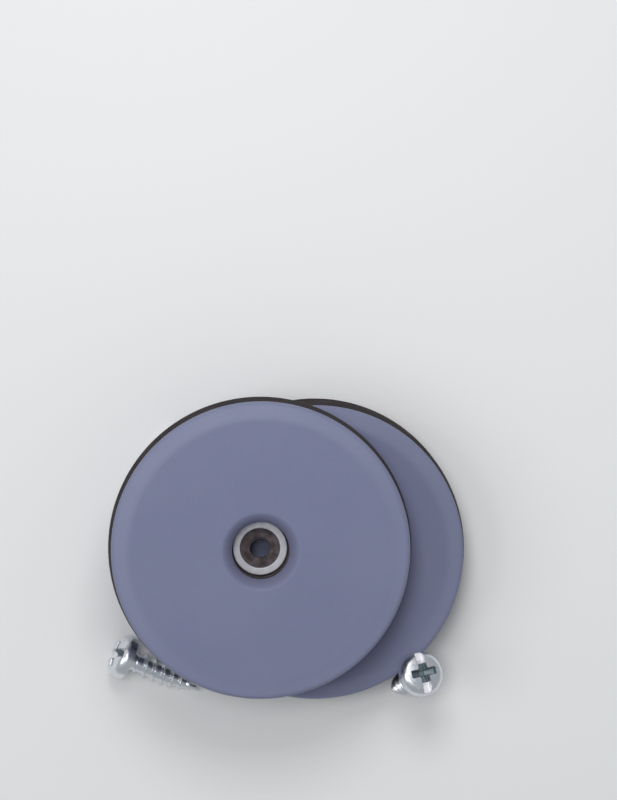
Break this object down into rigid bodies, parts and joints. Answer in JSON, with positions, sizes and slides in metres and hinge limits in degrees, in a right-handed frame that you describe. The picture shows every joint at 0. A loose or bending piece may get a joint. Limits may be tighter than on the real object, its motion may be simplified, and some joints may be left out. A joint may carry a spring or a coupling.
{
  "type": "furniture slider",
  "caption": "Round screw-on furniture sliders in a loose stack, each a blue-grey low-friction sole over a black rubber core with a steel washer in its screw recess, and pan-head screws.",
  "frame": {"origin": "centre of the bottom slider's screw hole at its back face, on the surface the set lies on", "axes": "+Z up out of the surface, through the stack; +X to the right in the picture, away from the side the upper sliders overhang; +Y up in the picture"},
  "size_m": [0.0607, 0.0532, 0.024],
  "materials": {
    "sole": "waxy satin, blue-grey",
    "core": "matt black rubber",
    "washer": "zinc-plated, dull",
    "screw": "bright zinc-plated"
  },
  "bodies": {
    "bottom_slider": {"bottom_sole": "sole", "bottom_core": "core", "bottom_washer": "washer"},
    "middle_slider": {"middle_sole": "sole", "middle_core": "core", "middle_washer": "washer"},
    "turned_slider": {"turned_sole": "sole", "turned_core": "core", "turned_washer": "washer"},
    "top_slider": {"top_sole": "sole", "top_core": "core", "top_washer": "washer"},
    "leaning_screw_body": {"leaning_screw": "screw"},
    "front_screw_body": {"front_screw": "screw"},
    "tucked_screw_body": {"tucked_screw": "screw"},
    "hidden_screw_body": {"hidden_screw": "screw"}
  },
  "joints": [
    {"name": "middle_lift", "type": "slide", "parent": "bottom_slider", "child": "middle_slider", "axis": [0, 0, 1], "range_m": [0, 0.03]},
    {"name": "turned_lift", "type": "slide", "parent": "middle_slider", "child": "turned_slider", "axis": [0, 0, 1], "range_m": [0, 0.03]},
    {"name": "top_lift", "type": "slide", "parent": "turned_slider", "child": "top_slider", "axis": [0, 0, 1], "range_m": [0, 0.03]},
    {"name": "leaning_screw_lift", "type": "slide", "parent": "middle_slider", "child": "leaning_screw_body", "axis": [0, 0, 1], "range_m": [0, 0.03]},
    {"name": "front_screw_lift", "type": "slide", "parent": "bottom_slider", "child": "front_screw_body", "axis": [0, 0, 1], "range_m": [0, 0.03]},
    {"name": "tucked_screw_draw", "type": "slide", "parent": "bottom_slider", "child": "tucked_screw_body", "axis": [-1, 0, 0], "range_m": [0, 0.03]},
    {"name": "hidden_screw_draw", "type": "slide", "parent": "bottom_slider", "child": "hidden_screw_body", "axis": [-1, 0, 0], "range_m": [0, 0.03]}
  ]
}
